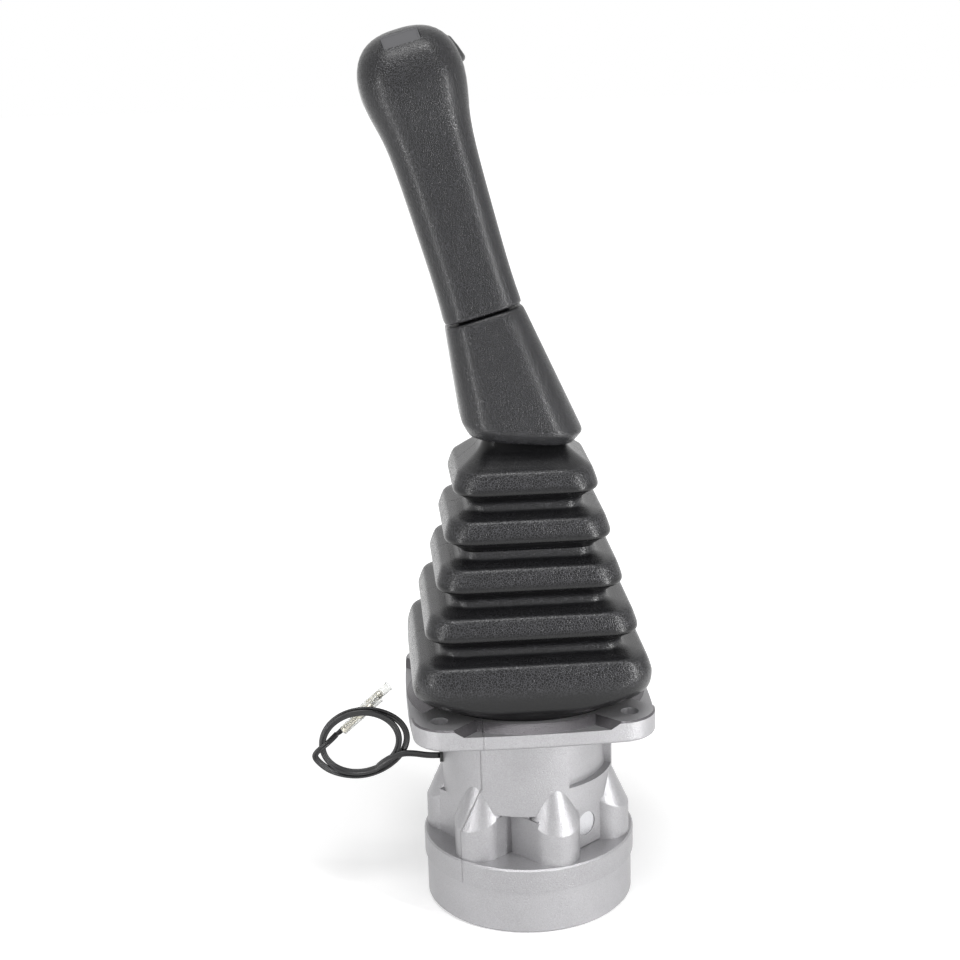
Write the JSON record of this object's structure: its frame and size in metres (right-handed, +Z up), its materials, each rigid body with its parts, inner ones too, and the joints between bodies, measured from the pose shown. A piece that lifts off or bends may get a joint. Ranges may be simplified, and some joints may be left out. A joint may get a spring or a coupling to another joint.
{
  "type": "hydraulic pilot joystick valve",
  "caption": "Hydraulic pilot valve joystick: leaning hand grip over a square bellows boot and a flanged die-cast housing whose joint and disc press sprung push rods.",
  "frame": {"origin": "centre of the port plate's underside, on the valve axis", "axes": "+Z up along the valve axis towards the lever; -Y towards the operator; the hand grip leans towards -X and a little towards +Y"},
  "size_m": [0.1655, 0.118, 0.4271],
  "materials": {
    "cast_aluminium": "as die-cast, fine sparkle",
    "machined_aluminium": "fine turned",
    "ground_steel": "ground",
    "zinc_steel": "zinc plated",
    "black_rubber_seal": "smooth",
    "dark_steel": "phosphated",
    "boot_rubber": "leather grain, satin",
    "grip_rubber": "pebble grain, satin",
    "label_plastic": "bare, smooth",
    "button_plastic": "satin",
    "lead_sheath": "satin PVC",
    "tinned_brass": "tinned",
    "clear_sleeve": "clear flexible PVC",
    "bronze_plug": "machined",
    "spring_steel": "drawn wire"
  },
  "bodies": {
    "valve_body": {"casing": "cast_aluminium", "port_plate": "machined_aluminium", "port_plate_seals": "black_rubber_seal", "port_plate_dowels": "ground_steel", "port_plate_screws": "zinc_steel", "gallery_plugs": "ground_steel", "lead_grommet": "black_rubber_seal", "lead": "lead_sheath", "lead_coil": "lead_sheath", "bullet_terminals": "tinned_brass", "terminal_sleeves": "clear_sleeve", "rod_seals": "black_rubber_seal", "plug_seals": "black_rubber_seal", "retaining_plate": "zinc_steel", "joint_base": "dark_steel", "pitch_pin": "ground_steel", "boot": "boot_rubber", "guide_plug_right": "bronze_plug", "guide_plug_rear": "bronze_plug", "guide_plug_left": "bronze_plug", "guide_plug_front": "bronze_plug", "return_spring_right": "spring_steel", "return_spring_rear": "spring_steel", "return_spring_left": "spring_steel", "return_spring_front": "spring_steel"},
    "joint_cross": {"joint_cross": "dark_steel"},
    "lever": {"joint_head": "dark_steel", "roll_pins": "ground_steel", "cam_disc": "dark_steel", "adjusting_nut": "zinc_steel", "lock_nut": "zinc_steel", "lever_rod": "dark_steel", "shroud": "grip_rubber", "grip": "grip_rubber", "label_plate": "label_plastic", "horn_switch": "button_plastic"},
    "horn_button": {"horn_button": "button_plastic"},
    "push_rod_right": {"push_rod_right": "ground_steel", "spring_seat_right": "dark_steel"},
    "spool_right": {"spool_right": "ground_steel", "metering_spring_right": "spring_steel"},
    "push_rod_rear": {"push_rod_rear": "ground_steel", "spring_seat_rear": "dark_steel"},
    "spool_rear": {"spool_rear": "ground_steel", "metering_spring_rear": "spring_steel"},
    "push_rod_left": {"push_rod_left": "ground_steel", "spring_seat_left": "dark_steel"},
    "spool_left": {"spool_left": "ground_steel", "metering_spring_left": "spring_steel"},
    "push_rod_front": {"push_rod_front": "ground_steel", "spring_seat_front": "dark_steel"},
    "spool_front": {"spool_front": "ground_steel", "metering_spring_front": "spring_steel"}
  },
  "joints": [
    {"name": "lever_pitch", "type": "hinge", "parent": "valve_body", "child": "joint_cross", "pos_m": [0, 0, 0.128], "axis": [1, 0, 0], "range_deg": [-19, 19], "stiffness_Nm_per_rad": 7, "deforming": ["boot"]},
    {"name": "lever_roll", "type": "hinge", "parent": "joint_cross", "child": "lever", "pos_m": [0, 0, 0.128], "axis": [0, 1, 0], "range_deg": [-19, 19], "stiffness_Nm_per_rad": 7},
    {"name": "horn_press", "type": "slide", "parent": "lever", "child": "horn_button", "axis": [0.8083, -0.012, 0.5887], "range_m": [-0.0012, 0], "stiffness_N_per_m": 1500},
    {"name": "push_rod_right_slide", "type": "slide", "parent": "valve_body", "child": "push_rod_right", "axis": [0, 0, 1], "range_m": [-0.00744, 0.00744], "deforming": ["return_spring_right"]},
    {"name": "spool_right_slide", "type": "slide", "parent": "valve_body", "child": "spool_right", "axis": [0, 0, 1], "range_m": [-0.0015, 0.0015], "deforming": ["metering_spring_right"]},
    {"name": "push_rod_rear_slide", "type": "slide", "parent": "valve_body", "child": "push_rod_rear", "axis": [0, 0, 1], "range_m": [-0.00724, 0.00724], "deforming": ["return_spring_rear"]},
    {"name": "spool_rear_slide", "type": "slide", "parent": "valve_body", "child": "spool_rear", "axis": [0, 0, 1], "range_m": [-0.00146, 0.00146], "deforming": ["metering_spring_rear"]},
    {"name": "push_rod_left_slide", "type": "slide", "parent": "valve_body", "child": "push_rod_left", "axis": [0, 0, 1], "range_m": [-0.00744, 0.00744], "deforming": ["return_spring_left"]},
    {"name": "spool_left_slide", "type": "slide", "parent": "valve_body", "child": "spool_left", "axis": [0, 0, 1], "range_m": [-0.0015, 0.0015], "deforming": ["metering_spring_left"]},
    {"name": "push_rod_front_slide", "type": "slide", "parent": "valve_body", "child": "push_rod_front", "axis": [0, 0, 1], "range_m": [-0.00724, 0.00724], "deforming": ["return_spring_front"]},
    {"name": "spool_front_slide", "type": "slide", "parent": "valve_body", "child": "spool_front", "axis": [0, 0, 1], "range_m": [-0.00146, 0.00146], "deforming": ["metering_spring_front"]}
  ],
  "couplings": [
    {"joint": "push_rod_right_slide", "follows": "lever_roll", "m_per_rad": -0.022433},
    {"joint": "spool_right_slide", "follows": "lever_roll", "m_per_rad": -0.0045233},
    {"joint": "push_rod_rear_slide", "follows": "lever_pitch", "m_per_rad": 0.021805},
    {"joint": "spool_rear_slide", "follows": "lever_pitch", "m_per_rad": 0.0043967},
    {"joint": "push_rod_left_slide", "follows": "lever_roll", "m_per_rad": 0.022433},
    {"joint": "spool_left_slide", "follows": "lever_roll", "m_per_rad": 0.0045233},
    {"joint": "push_rod_front_slide", "follows": "lever_pitch", "m_per_rad": -0.021805},
    {"joint": "spool_front_slide", "follows": "lever_pitch", "m_per_rad": -0.0043967}
  ]
}
